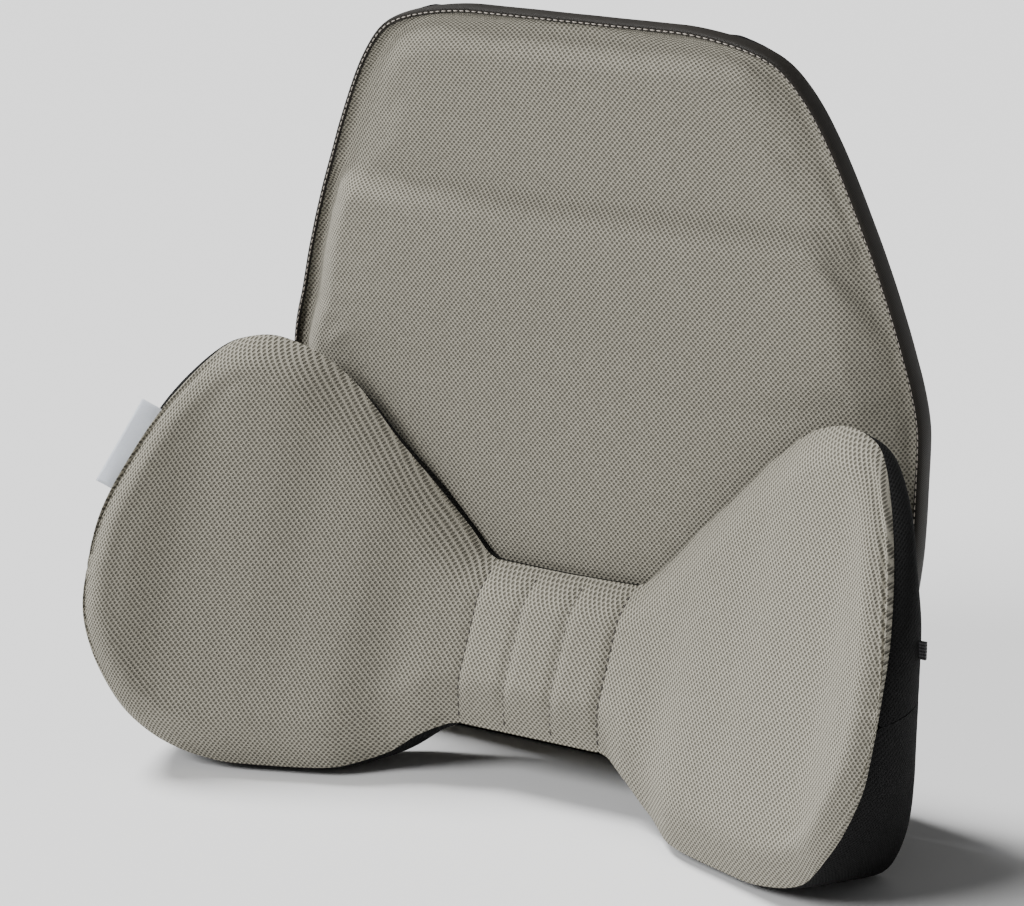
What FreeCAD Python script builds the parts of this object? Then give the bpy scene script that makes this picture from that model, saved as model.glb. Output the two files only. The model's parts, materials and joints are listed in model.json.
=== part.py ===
"""Lumbar support for a seat back: a stiff padded back panel, and a winged hip cushion that is
fastened to it with hook and loop, so that its height can be set.

Row frame, in millimetres: +Z up, -Y towards the sitter, +Y towards the seat back.
The origin is under the middle of the part, on the surface that it stands on.
"""
import FreeCAD
import Part

import math
import os

from FreeCAD import Placement, Rotation, Vector

doc = FreeCAD.newDocument("lumbar_support")
sheet = doc.addObject("Spreadsheet::Sheet", "sizes")

DRIVING = {
    # where the part sits in depth: the panel's rear face, from the frame's origin
    "rear_y": 76.2,
    # back panel
    "panel_height": 403.0,
    "panel_half_width": 189.0,
    "panel_depth": 30.0,
    "bend_start": 260.0,
    "bend_lean": 0.1,
    "bend_curl": 8.3,
    "rim_depth": 12.0,
    "bevel": 46.0,
    "binding_wall": 3.0,
    "cover_wall": 1.4,
    "face_wall": 2.2,
    "board_wall": 2.2,
    "board_depth": 5.2,
    "board_margin": 14.0,
    "vent_radius": 9.0,
    "vent_pitch": 70.0,
    "gap": 0.2,
    "core_gap": 0.8,
    # zip across the rear of the panel
    "zip_height": 200.0,
    "zip_half_length": 130.0,
    "zip_slit": 12.0,
    "tape_width": 13.0,
    "tape_wall": 0.6,
    "coil_width": 5.0,
    "coil_wall": 2.0,
    "slider_length": 11.0,
    "slider_width": 9.6,
    "slider_rise": 3.6,
    "slider_start": 118.0,
    "post_length": 3.2,
    "post_rise": 4.0,
    "post_wall": 1.0,
    "post_inside": 5.2,
    "pin_radius": 0.8,
    "pin_lift": 2.2,
    "pin_play": 0.08,
    "eye_radius": 1.9,
    "eye_height": 4.4,
    "neck_length": 8.0,
    "grip_start": 5.0,
    "pull_length": 24.0,
    "pull_width": 8.0,
    "pull_wall": 2.0,
    # strap round the seat back
    "strap_height": 112.0,
    "strap_width": 30.0,
    "strap_wall": 1.5,
    "strap_lift": 2.5,
    "anchor_x": 150.0,
    "anchor_length": 40.0,
    "anchor_lap": 2.0,
    "turn_radius": 3.7,
    "bar_x": 28.0,
    "buckle_width": 38.0,
    "buckle_wall": 7.6,
    "prong_length": 22.0,
    "prong_reach": 11.4,
    "prong_inside": 9.6,
    "prong_lift": 2.1,
    "tooth_inside": 12.0,
    "guide_reach": 13.0,
    "shell_reach": 22.0,
    "window_reach": 14.5,
    "rail_reach": 33.5,
    "rail_lift": 1.0,
    "bar_reach": 30.0,
    "bar_wall": 3.6,
    "bar_height": 36.0,
    "rail_length": 12.0,
    "rail_depth": 5.6,
    "rail_wall": 3.2,
    "shell_length": 30.0,
    "shell_floor": 1.6,
    "cavity_depth": 4.4,
    "cavity_height": 31.6,
    "window_length": 11.0,
    "base_length": 11.0,
    "base_depth": 6.4,
    "guide_length": 25.0,
    "guide_height": 4.4,
    "prong_depth": 3.4,
    "prong_wall": 3.2,
    "tooth_length": 7.0,
    "tooth_height": 5.6,
    "keeper_x": 95.0,
    "keeper_length": 9.0,
    "keeper_wall": 1.1,
    "keeper_room": 5.4,
    "keeper_side": 3.0,
    "keeper_play": 0.6,
    "layer_gap": 0.35,
    "tail_x": 118.0,
    # hip cushion
    "hip_half_width": 232.0,
    "waist_half_width": 43.0,
    "hip_lead": 32.5,
    "flex_gap": 0.6,
    "hook_wall": 0.8,
    "hook_width": 30.0,
    "hook_length": 66.0,
    "hook_x": 24.0,
    "hook_z": 34.0,
    "loop_z": 20.0,
    "loop_length": 78.0,
    "gel_wall": 7.0,
    "gel_width": 84.0,
    "gel_height": 84.0,
    "tag_end": 237.0,
    "tag_reach": 8.0,
    "tag_wall": 1.6,
    "tag_height": 9.0,
    "tag_lead": 110.0,
    "tag_z": 134.0,
    "label_length": 50.0,
    "label_width": 9.4,
    "label_wall": 0.8,
}

for row, (alias, value) in enumerate(DRIVING.items(), start=1):
    sheet.set(f"A{row}", alias.replace("_", " "))
    sheet.set(f"B{row}", str(value))
    sheet.setAlias(f"B{row}", alias)
doc.recompute()


def dim(alias):
    """A driving dimension, read back from the sheet."""
    return float(sheet.get(alias))


GAP = dim("gap")
REAR = dim("rear_y")
nodes = []


def node(label, thing):
    """Names a document object as a sub-part."""
    thing.Label = label
    nodes.append(thing)
    return thing


def feature(label, shape):
    """A sub-part whose shape comes from Part's own functions."""
    thing = doc.addObject("Part::Feature", label)
    thing.Shape = shape
    return node(label, thing)


def block(name, sizes, base):
    """A Part::Box bound to the sheet. sizes and base are expressions over the sheet's aliases."""
    thing = doc.addObject("Part::Box", name)
    for side, text in zip(("Length", "Width", "Height"), sizes):
        thing.setExpression(side, bind(text))
    for axis, text in zip("xyz", base):
        thing.setExpression(f"Placement.Base.{axis}", bind(text))
    return thing


def rod(name, radius, height, base):
    """An upright Part::Cylinder bound to the sheet."""
    thing = doc.addObject("Part::Cylinder", name)
    thing.setExpression("Radius", bind(radius))
    thing.setExpression("Height", bind(height))
    for side, text in zip("xyz", base):
        thing.setExpression(f"Placement.Base.{side}", bind(text))
    return thing


def bind(text):
    """Puts the sheet's name before each alias of an expression."""
    words = str(text).replace("(", " ( ").replace(")", " ) ").split()
    return " ".join(f"sizes.{w}" if w in DRIVING else w for w in words)


def cut(name, base, *tools):
    """The base with each tool taken away; the last cut has the name."""
    for i, tool in enumerate(tools):
        thing = doc.addObject("Part::Cut", name if i == len(tools) - 1 else f"{name}_{i}")
        thing.Base = base
        thing.Tool = tool
        base = thing
    return base


def fuse(name, *pieces):
    """The union of pieces."""
    thing = doc.addObject("Part::MultiFuse", name)
    thing.Shapes = list(pieces)
    return thing


def through(points):
    """An edge of one smooth curve through points."""
    curve = Part.BSplineCurve()
    curve.interpolate([Vector(*p) for p in points])
    return curve.toShape()


def towards(poles):
    """An edge of one smooth curve that stays inside its control polygon."""
    curve = Part.BSplineCurve()
    curve.buildFromPoles([Vector(*p) for p in poles], False, 3)
    return curve.toShape()


def slope(left, right):
    """A station's slope from the slopes on its two sides: none at a peak, so that no curve overshoots."""
    return 0.0 if left * right <= 0 else 2 * left * right / (left + right)


def along(stations, at):
    """The values of a station table at a place, on a smooth curve that never overshoots its stations."""
    keys = [s[0] for s in stations]
    last = len(keys) - 1
    i = next((k for k in range(1, last) if keys[k] >= at), last)
    step = keys[i] - keys[i - 1]
    t = (at - keys[i - 1]) / step
    values = []
    for column in range(1, len(stations[0])):
        rates = [
            (stations[k][column] - stations[k - 1][column]) / (keys[k] - keys[k - 1])
            for k in (max(i - 1, 1), i, min(i + 1, last))
        ]
        before, after = slope(*rates[:2]), slope(*rates[1:])
        a, b = stations[i - 1][column], stations[i][column]
        c = 3 * (b - a) - (2 * before + after) * step
        d = 2 * (a - b) + (before + after) * step
        values.append(a + before * step * t + c * t * t + d * t * t * t)
    return values


def levels_between(first, last, pitch):
    """Evenly spaced places from first to last, about a pitch apart."""
    count = max(1, round((last - first) / pitch))
    return [first + (last - first) * i / count for i in range(count + 1)]


# ---------------------------------------------------------------- back panel

# height, then shares of the panel's half width and depth
PANEL = (
    (0.0, 0.62, 0.40),
    (18.0, 0.78, 0.62),
    (49.0, 0.90, 0.95),
    (104.0, 0.965, 1.0),
    (154.0, 0.995, 1.0),
    (204.0, 1.0, 1.0),
    (249.0, 0.95, 1.0),
    (280.0, 0.897, 1.0),
    (304.0, 0.852, 0.76),
    (344.0, 0.765, 0.76),
    (370.0, 0.695, 0.72),
    (384.0, 0.642, 0.60),
    (395.0, 0.545, 0.50),
    (403.0, 0.37, 0.44),
)
CURL_POWER = 6
OUTLINE_PITCH = 24.0
SECTION_PITCH = 20.0
END_STEPS = (0.0, 4.0, 12.0)
BINDING_LAP = 2.0
SIDE_STEP = 16.0


def bend(z):
    """How far the panel's rear face leans forward at a height: none below, then evenly, with a curl on top."""
    rise = max(0.0, z - dim("bend_start"))
    share = rise / (dim("panel_height") - dim("bend_start"))
    return dim("bend_lean") * rise + dim("bend_curl") * share ** CURL_POWER


def panel_plate(inset, front, rear, z_low=None, z_high=None):
    """A plate that follows the panel's curved rear, drawn in by inset from the panel's outline.

    front and rear are depths in front of the rear face.
    """
    scale = dim("panel_height") / PANEL[-1][0]
    first = inset if z_low is None else z_low
    last = dim("panel_height") - inset if z_high is None else z_high
    wide = dim("panel_half_width")
    side = [
        (along(PANEL, z / scale)[0] * wide - inset, -200.0, z) for z in levels_between(first, last, OUTLINE_PITCH)
    ]
    other = [(-x, y, z) for x, y, z in side]
    outline = Part.Wire([
        through(side),
        Part.makeLine(Vector(*side[-1]), Vector(*other[-1])),
        through(other[::-1]),
        Part.makeLine(Vector(*other[0]), Vector(*side[0])),
    ])
    prism = Part.Face(outline).extrude(Vector(0, 400, 0))
    return side_band(front, rear).common(prism)


def side_band(front, rear):
    """The side view of a layer behind the padding, straight below the bend, as a wide extrusion."""
    wide, low, high = 300.0, -20.0, dim("panel_height") + 20.0
    start = dim("bend_start")
    curve = levels_between(start, high, SIDE_STEP)
    edges = []
    for depth, order in ((front, 1), (rear, -1)):
        foot = Vector(-wide, REAR - depth, low)
        knee = Vector(-wide, REAR - depth, start)
        arc = [(-wide, REAR - depth - bend(z), z) for z in curve]
        edges.append([Part.makeLine(foot, knee), through(arc)][::order])
    ahead, behind = edges
    ends = [
        Part.makeLine(Vector(-wide, REAR - front - bend(high), high), Vector(-wide, REAR - rear - bend(high), high)),
        Part.makeLine(Vector(-wide, REAR - rear, low), Vector(-wide, REAR - front, low)),
    ]
    wire = Part.Wire([*ahead, ends[0], *behind, ends[1]])
    return Part.Face(wire).extrude(Vector(2 * wide, 0, 0))


def panel_front(z, inset):
    """Control polygon of the padded front at a level: rim, bevel, flat middle, bevel, rim."""
    share, depth = along(PANEL, z * PANEL[-1][0] / dim("panel_height"))
    half = share * dim("panel_half_width") - dim("binding_wall") - 1.0 - inset
    rear = REAR - bend(z)
    rim = rear - dim("rim_depth") + BINDING_LAP
    front = min(rear - depth * dim("panel_depth") + inset, rim - 1.0)
    bevel = dim("bevel")
    side = [(half, rim), (half - 0.1 * bevel, front + 0.35 * (rim - front)), (half - 0.5 * bevel, front)]
    side += [(half - bevel, front), (0.4 * half, front)]
    return [(x, y, z) for x, y in side] + [(-x, y, z) for x, y in side[::-1]]


def panel_section(z, inset, wall):
    """One level of the padded front: a band of the cover if wall is set, else everything behind it."""
    outer = panel_front(z, inset)
    if wall:
        inner = panel_front(z, inset + wall)
    else:
        rear = REAR - bend(z) - dim("board_depth")
        inner = [(outer[0][0], rear, z), (outer[-1][0], rear, z)]
    start, finish = Vector(*outer[0]), Vector(*outer[-1])
    back = towards(inner[::-1]) if wall else Part.makeLine(Vector(*inner[1]), Vector(*inner[0]))
    return Part.Wire([
        towards(outer),
        Part.makeLine(finish, Vector(*inner[-1])),
        back,
        Part.makeLine(Vector(*inner[0]), start),
    ])


def pad_levels():
    """Levels of the padded front's sections: even, with closer ones at the ends, where the outline turns fast."""
    edge = dim("binding_wall") + 1.0
    ends = [edge + step for step in END_STEPS]
    tops = [dim("panel_height") - level for level in ends[::-1]]
    return ends[:-1] + levels_between(ends[-1], tops[0], SECTION_PITCH) + tops[1:]


def panel_pad(levels, inset, wall=0.0):
    """The padded front of the panel as a ruled loft of level sections."""
    return Part.makeLoft([panel_section(z, inset, wall) for z in levels], True, True)


def build_panel():
    """Foam, front cover, stiffener board with vents, rear covers and edge binding of the back panel."""
    wall, board, face = dim("cover_wall"), dim("board_wall"), dim("face_wall")
    behind = wall + dim("tape_wall") + 3 * GAP
    levels = pad_levels()
    feature("back_foam_core", panel_pad(levels[1:-1], face + dim("core_gap")))
    feature("back_front_cover", panel_pad(levels, 0.0, face))

    plate = panel_plate(dim("board_margin"), behind + board, behind)
    pitch = dim("vent_pitch")
    for column in (-1, 0, 1):
        for level in (1, 2, 3, 4):
            place = Vector(column * pitch, REAR - behind - 40, level * pitch)
            plate = plate.cut(Part.makeCylinder(dim("vent_radius"), 60, place, Vector(0, 1, 0)))
    feature("back_stiffener_board", plate)

    slit = dim("zip_slit") / 2
    level = dim("zip_height")
    ring = dim("binding_wall") + GAP
    feature("back_rear_cover_upper", panel_plate(ring, wall, 0.0, z_low=level + slit))
    feature("back_rear_cover_lower", panel_plate(ring, wall, 0.0, z_high=level - slit))
    outer = panel_plate(0.0, dim("rim_depth"), 0.0)
    inner = panel_plate(dim("binding_wall"), dim("rim_depth") + 1, -1.0)
    feature("back_edge_binding", outer.cut(inner))


# ---------------------------------------------------------------- zip

def build_zip():
    """The zip across the panel's rear: tape, coil, slider and pull."""
    tape_rear = "rear_y - cover_wall - gap"
    tape = block(
        "back_zip_tape",
        ("2 * zip_half_length", "tape_wall", "2 * tape_width"),
        ("-1 * zip_half_length", f"{tape_rear} - tape_wall", "zip_height - tape_width"),
    )
    node("back_zip_tape", tape)
    coil = block(
        "back_zip_coil",
        ("2 * zip_half_length - 4", "coil_wall", "coil_width"),
        ("-1 * zip_half_length + 2", tape_rear, "zip_height - coil_width / 2"),
    )
    node("back_zip_coil", coil)

    base_y = "rear_y - cover_wall + gap"
    body = block(
        "slider_body",
        ("slider_length", "slider_rise", "slider_width"),
        ("slider_start - slider_length / 2", base_y, "zip_height - slider_width / 2"),
    )
    channel = block(
        "slider_channel",
        ("slider_length + 4", "coil_wall + gap", "coil_width + 3 * gap"),
        ("slider_start - slider_length / 2 - 2", f"{base_y} - gap", "zip_height - coil_width / 2 - 1.5 * gap"),
    )
    shell = cut("slider_shell", body, channel)
    posts = [
        block(
            f"slider_post_{place}",
            ("post_length", "post_rise", "post_wall"),
            ("slider_start - post_length / 2", f"{base_y} + slider_rise", f"zip_height + {z}"),
        )
        for place, z in (("upper", "post_inside / 2"), ("lower", "-1 * post_inside / 2 - post_wall"))
    ]
    pin_y = f"{base_y} + slider_rise + pin_lift"
    pin = rod(
        "slider_pin", "pin_radius", "post_inside + 0.8 * post_wall",
        ("slider_start", pin_y, "zip_height - post_inside / 2 - 0.4 * post_wall"),
    )
    node("zip_slider", fuse("zip_slider", shell, *posts, pin))

    neck = block(
        "pull_neck", ("neck_length", "pull_wall", "eye_height"),
        ("slider_start", f"{pin_y} - pull_wall / 2", "zip_height - eye_height / 2"),
    )
    eye = rod("pull_eye", "eye_radius", "eye_height", ("slider_start", pin_y, "zip_height - eye_height / 2"))
    grip = block(
        "pull_grip", ("pull_length - grip_start", "pull_wall", "pull_width"),
        ("slider_start + grip_start", f"{pin_y} - pull_wall / 2", "zip_height - pull_width / 2"),
    )
    tab = fuse("pull_tab", neck, eye, grip)
    hole = rod(
        "pull_hole", "pin_radius + pin_play", "pull_width", ("slider_start", pin_y, "zip_height - pull_width / 2"),
    )
    node("zip_pull", cut("zip_pull", tab, hole))


# ---------------------------------------------------------------- strap and buckle

# the strap's returning layer: how far it stays at the bar's rear, then how far it takes to come down
TURN_RUN = 4.0
SLOPE_RUN = 10.0
# how far the sewn end of the left strap's returning layer is from the buckle's bar
SEWN_RUN = 34.0


def ribbon(label, path):
    """A length of webbing: a path in plan, thickened and given the strap's width."""
    wall, width = dim("strap_wall"), dim("strap_width")
    level = dim("strap_height") - width / 2
    side = 1 if path[0].Vertexes[0].X > 0 else -1
    face = Part.Wire(path).makeOffset2D(side * wall, 0, True, True)
    shape = face.extrude(Vector(0, 0, width))
    shape.translate(Vector(0, 0, level))
    return feature(label, shape)


def strap_path(side, back_x):
    """The strap's side view: out from its anchor, round the buckle's bar and back to back_x."""
    y = REAR + dim("strap_lift") - dim("strap_wall") / 2
    turn = dim("turn_radius") + dim("strap_wall") / 2
    far = side * (dim("anchor_x") + dim("anchor_length") / 2)
    bar = side * dim("bar_x")
    high = y + 2 * turn
    low = y + 2 * dim("strap_wall") + dim("layer_gap")
    start, turned = Vector(far, y, 0), Vector(bar, y, 0)
    tip = Vector(bar - side * turn, y + turn, 0)
    top, leaving = Vector(bar, high, 0), Vector(bar + side * TURN_RUN, high, 0)
    down, end = Vector(bar + side * (TURN_RUN + SLOPE_RUN), low, 0), Vector(side * back_x, low, 0)
    return [
        Part.makeLine(start, turned),
        Part.Arc(turned, tip, top).toShape(),
        Part.makeLine(top, leaving),
        Part.makeLine(leaving, down),
        Part.makeLine(down, end),
    ]


def build_strap():
    """Both lengths of webbing with their sewn anchors, and the keeper that holds the loose end."""
    for name, side in (("left", -1), ("right", 1)):
        back = dim("tail_x") if side > 0 else dim("bar_x") + SEWN_RUN
        ribbon(f"strap_{name}", strap_path(side, back))
        start = f"{side} * anchor_x - anchor_length / 2"
        patch = block(
            f"strap_anchor_{name}", ("anchor_length", "strap_wall", "strap_width + 2 * anchor_lap"),
            (start, "rear_y + gap", "strap_height - strap_width / 2 - anchor_lap"),
        )
        node(f"strap_anchor_{name}", patch)
    keeper = block(
        "keeper_outer",
        ("keeper_length", "keeper_room + 2 * keeper_wall", "strap_width + 2 * keeper_side"),
        ("keeper_x - keeper_length / 2", "rear_y + layer_gap", "strap_height - strap_width / 2 - keeper_side"),
    )
    hollow = block(
        "keeper_inner", ("2 * keeper_length", "keeper_room", "strap_width + 2 * keeper_play"),
        (
            "keeper_x - keeper_length",
            "rear_y + layer_gap + keeper_wall",
            "strap_height - strap_width / 2 - keeper_play",
        ),
    )
    node("strap_keeper", cut("strap_keeper", keeper, hollow))


def buckle_bar(name, side):
    """The rails and crossbar that the strap turns round, on one half of the buckle."""
    rail_x = "-1 * rail_reach" if side < 0 else "rail_reach - rail_length"
    bar_x = "-1 * bar_reach" if side < 0 else "bar_reach - bar_wall"
    levels = ("bar_height / 2 - rail_wall + 1", "-1 * bar_height / 2 - 1")
    rails = [
        block(
            f"{name}_rail_{place}", ("rail_length", "rail_depth", "rail_wall"),
            (rail_x, "rear_y + strap_lift + rail_lift", f"strap_height + {level}"),
        )
        for place, level in zip(("upper", "lower"), levels)
    ]
    bar = block(
        f"{name}_bar", ("bar_wall", "bar_wall", "bar_height"),
        (bar_x, "rear_y + strap_lift + rail_lift + 0.9", "strap_height - bar_height / 2"),
    )
    return [*rails, bar]


def build_buckle():
    """A side-release buckle: a hollow half, and a half with a middle guide and two flexible prongs."""
    front = "rear_y + strap_lift + gap / 2"
    shell = block(
        "female_shell", ("shell_length", "buckle_wall", "buckle_width"),
        ("-1 * shell_reach", front, "strap_height - buckle_width / 2"),
    )
    cavity = block(
        "female_cavity", ("shell_length", "cavity_depth", "cavity_height"),
        ("-1 * shell_reach + base_depth", f"{front} + shell_floor", "strap_height - cavity_height / 2"),
    )
    windows = block(
        "female_windows", ("window_length", "cavity_depth", "2 * buckle_width"),
        ("-1 * window_reach", f"{front} + shell_floor", "strap_height - buckle_width"),
    )
    hollow = cut("female_hollow", shell, cavity, windows)
    node("buckle_female", fuse("buckle_female", hollow, *buckle_bar("female", -1)))

    base = block(
        "male_base", ("base_length", "base_depth", "bar_height"),
        ("base_length", f"{front} + 3 * gap", "strap_height - bar_height / 2"),
    )
    guide = block(
        "male_guide", ("guide_length", "prong_depth", "guide_height"),
        ("-1 * guide_reach", f"{front} + prong_lift", "strap_height - guide_height / 2"),
    )
    node("buckle_male", fuse("buckle_male", base, guide, *buckle_bar("male", 1)))

    for place, arm_z, tooth_z in (
        ("upper", "prong_inside", "tooth_inside"),
        ("lower", "-1 * prong_inside - prong_wall", "-1 * tooth_inside - tooth_height"),
    ):
        arm = block(
            f"prong_{place}_arm", ("prong_length", "prong_depth", "prong_wall"),
            ("-1 * prong_reach", f"{front} + prong_lift", f"strap_height + {arm_z}"),
        )
        tooth = block(
            f"prong_{place}_tooth", ("tooth_length", "prong_depth", "tooth_height"),
            ("-1 * prong_reach - 1", f"{front} + prong_lift", f"strap_height + {tooth_z}"),
        )
        node(f"buckle_prong_{place}", fuse(f"buckle_prong_{place}", arm, tooth))


# ---------------------------------------------------------------- hip cushion

# x, height of the lower and upper seam, how far each is in front of the panel's rear face,
# depth of the side wall below and above, how much lower its rear edge is, and crown of the padded front
WING = (
    (43.0, 28.0, 111.0, 79.0, 39.0, 46.0, 6.5, 0.0, 9.0),
    (60.0, 22.0, 126.0, 88.0, 38.0, 48.0, 6.0, 0.0, 10.0),
    (80.0, 9.0, 148.0, 95.0, 41.0, 45.0, 8.0, 0.0, 12.0),
    (102.0, 3.0, 171.0, 113.0, 44.0, 48.0, 9.0, 0.0, 13.0),
    (125.0, 1.0, 196.0, 122.0, 45.0, 47.0, 9.0, 0.0, 13.0),
    (153.0, 1.0, 217.0, 132.0, 55.0, 49.0, 10.0, 0.0, 13.0),
    (187.0, 11.0, 220.0, 143.0, 66.0, 60.0, 12.0, 9.0, 12.0),
    (208.0, 36.0, 194.0, 157.0, 92.0, 74.0, 18.0, 34.0, 10.0),
    (221.0, 60.0, 163.0, 159.0, 116.0, 68.0, 26.0, 28.0, 8.0),
    (230.0, 91.0, 119.0, 155.0, 144.0, 50.0, 40.0, 10.0, 3.0),
)
WALL_BULGE = 3.0
FLATTEST_BOW = 0.28
# share of the height and of the crown, for the front's control polygon
CROWN_POLES = ((0.0, 0.0), (0.02, 0.62), (0.12, 1.0), (0.35, 1.06), (0.65, 1.06), (0.88, 1.0), (0.98, 0.62), (1.0, 0.0))
WING_PITCH = 11.0
LABEL_WAY = Vector(-0.85, -0.25, 0.40)
LABEL_STANDOFF = 1.2
GEL_CORNER = 4.0
GEL_LEAN = -20.0
GEL_TURN = -26.0
# the gel pad's middle, with its depth measured from the middle of the wing's seams
GEL_CENTRE = (128.0, 2.0, 98.0)


def wing_points(x, inset):
    """Corner points and front curve of the wing's upright section at x, drawn in by inset."""
    z_low, z_high, lead_low, lead_high, t_low, t_high, drop, crown = along(WING, x)
    y_low, y_high = REAR - lead_low, REAR - lead_high
    z_low, z_high = z_low + WALL_BULGE + inset, z_high - WALL_BULGE - inset
    tall, lean = z_high - z_low, y_high - y_low
    crown = max(crown - inset, 0.5)
    front = [(x, y_low + lean * s - crown * c, z_low + tall * s) for s, c in CROWN_POLES]
    rear_low = (x, y_low + t_low - inset, z_low - drop)
    rear_high = (x, max(y_high + t_high - inset, y_high + 1.0), z_high)
    return front, rear_low, rear_high


def bulged(a, b, by):
    """A side wall between two seams, bowed outwards by a distance, or by less where the wall is thin."""
    middle = [(p + q) / 2 for p, q in zip(a, b)]
    middle[2] += math.copysign(min(abs(by), FLATTEST_BOW * math.dist(a, b)), by)
    return Part.Arc(Vector(*a), Vector(*middle), Vector(*b)).toShape()


def wing_section(x, inset):
    """The wing's whole upright section at x, drawn in by inset."""
    front, low, high = wing_points(x, inset)
    bow = WALL_BULGE
    return Part.Wire([
        towards(front), bulged(front[-1], high, bow),
        Part.makeLine(Vector(*high), Vector(*low)), bulged(low, front[0], -bow),
    ])


def front_band(x, wall):
    """Section of the front cover: the front curve and the same curve a wall further in."""
    outer, inner = wing_points(x, 0.0)[0], wing_points(x, wall)[0]
    return Part.Wire([
        towards(outer), Part.makeLine(Vector(*outer[-1]), Vector(*inner[-1])),
        towards(inner[::-1]), Part.makeLine(Vector(*inner[0]), Vector(*outer[0])),
    ])


def rear_band(x, wall):
    """Section of the side wall and rear cover, a C that meets the front cover at both seams."""
    front, low, high = wing_points(x, 0.0)
    inner_front, inner_low, inner_high = wing_points(x, wall)
    shift = GAP
    start, finish = (x, front[0][1] + shift, front[0][2]), (x, front[-1][1] + shift, front[-1][2])
    inner_start = (x, inner_front[0][1] + shift, inner_front[0][2])
    inner_finish = (x, inner_front[-1][1] + shift, inner_front[-1][2])
    bow = WALL_BULGE
    return Part.Wire([
        bulged(finish, high, bow), Part.makeLine(Vector(*high), Vector(*low)), bulged(low, start, -bow),
        Part.makeLine(Vector(*start), Vector(*inner_start)),
        bulged(inner_start, inner_low, -bow), Part.makeLine(Vector(*inner_low), Vector(*inner_high)),
        bulged(inner_high, inner_finish, bow), Part.makeLine(Vector(*inner_finish), Vector(*finish)),
    ])


def mirrored(shape, side):
    """The shape for the right wing, or its mirror image for the left."""
    return shape if side > 0 else shape.mirror(Vector(), Vector(1, 0, 0))


def wing_loft(section, places, inset):
    """A ruled loft of upright sections."""
    return Part.makeLoft([section(x, inset) for x in places], True, True)


def gel_slab():
    """The gel pad that lies in the wing's foam, square to the wing's face."""
    slab = Part.makeBox(dim("gel_width"), dim("gel_wall"), dim("gel_height"))
    slab = slab.makeFillet(GEL_CORNER, [e for e in slab.Edges if abs(e.Vertexes[0].Y - e.Vertexes[1].Y) > 1])
    slab.translate(Vector(dim("gel_width"), dim("gel_wall"), dim("gel_height")) * -0.5)
    slab.rotate(Vector(), Vector(1, 0, 0), GEL_LEAN)
    slab.rotate(Vector(), Vector(0, 0, 1), GEL_TURN)
    centre = Vector(*GEL_CENTRE)
    lead_low, lead_high = along(WING, centre.x)[2:4]
    slab.translate(centre + Vector(0, REAR - (lead_low + lead_high) / 2, 0))
    return slab


def build_wings():
    """Covers, end gusset, foam, gel pad and pull tab of both wings."""
    wall = dim("face_wall")
    inset = wall + dim("core_gap")
    tip = WING[-1][0]
    places = levels_between(dim("waist_half_width") + dim("flex_gap"), tip - inset, WING_PITCH)
    front = wing_loft(front_band, [*places, tip], wall)
    rear = wing_loft(rear_band, [*places, tip], wall)
    end = Part.Face(wing_section(tip, 0.0)).extrude(Vector(dim("hip_half_width") - tip, 0, 0))
    end.translate(Vector(GAP, 0, 0))
    foam = wing_loft(wing_section, places, inset)
    gel = gel_slab()
    pocket = gel.makeOffsetShape(GAP, 0.01)
    for name, side in (("left", -1), ("right", 1)):
        feature(f"wing_{name}_front_cover", mirrored(front, side))
        feature(f"wing_{name}_side_and_rear_cover", mirrored(rear, side))
        feature(f"wing_{name}_end_gusset", mirrored(end, side))
        feature(f"wing_{name}_foam_core", mirrored(foam.cut(pocket), side))
        feature(f"wing_{name}_gel_pad", mirrored(gel, side))
        tab = block(
            f"wing_{name}_pull_tab", ("tag_reach", "tag_wall", "tag_height"),
            (tab_start(side), "rear_y - tag_lead", "tag_z - tag_height / 2"),
        )
        node(f"wing_{name}_pull_tab", tab)


def tab_start(side):
    """Where a wing's pull tab begins, as an expression."""
    return "tag_end - tag_reach" if side > 0 else "-1 * tag_end"


def build_label():
    """A blank woven label, sewn into the front seam of the left wing near its outer end."""
    plate = doc.addObject("Part::Box", "wing_left_label")
    plate.setExpression("Length", bind("label_width"))
    plate.setExpression("Width", bind("label_wall"))
    plate.setExpression("Height", bind("label_length"))
    top, bottom = (
        Vector(-x, REAR - lead, z) for x, z, lead in ((214.0, 178.0, 101.0), (228.0, 136.0, 129.0))
    )
    run = (top - bottom).normalize()
    outward = (LABEL_WAY - run * LABEL_WAY.dot(run)).normalize()
    across = run.cross(outward)
    turn = Rotation(outward, across, run, "ZXY")
    plate.Placement = Placement(bottom + outward * LABEL_STANDOFF, turn)
    node("wing_left_label", plate)


def build_waist():
    """The narrow middle between the wings: one section all along."""
    wall, half = dim("face_wall"), dim("waist_half_width")
    x0 = WING[0][0]

    def swept(wire, half_width):
        """The section drawn out to both sides of the middle."""
        shape = Part.Face(wire).extrude(Vector(2 * half_width, 0, 0))
        shape.translate(Vector(-half_width - x0, 0, 0))
        return shape

    feature("waist_front_cover", swept(front_band(x0, wall), half))
    feature("waist_side_and_rear_cover", swept(rear_band(x0, wall), half))
    feature("waist_foam_core", swept(wing_section(x0, wall + dim("core_gap")), half))


def build_hook_and_loop():
    """Hook strips on the hip cushion's rear, and the longer loop strips that they grip on the panel."""
    for name, side in (("left", -1), ("right", 1)):
        hook = block(
            f"hook_strip_{name}", ("hook_width", "hook_wall", "hook_length"),
            (f"{side} * hook_x - hook_width / 2", "rear_y - hip_lead + gap", "hook_z"),
        )
        node(f"hook_strip_{name}", hook)
        loop = block(
            f"loop_strip_{name}", ("hook_width", "hook_wall", "loop_length"),
            (f"{side} * hook_x - hook_width / 2", "rear_y - hip_lead + hook_wall + 3 * gap", "loop_z"),
        )
        node(f"loop_strip_{name}", loop)


build_panel()
build_zip()
build_strap()
build_buckle()
build_wings()
build_label()
build_waist()
build_hook_and_loop()
doc.recompute()

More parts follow.
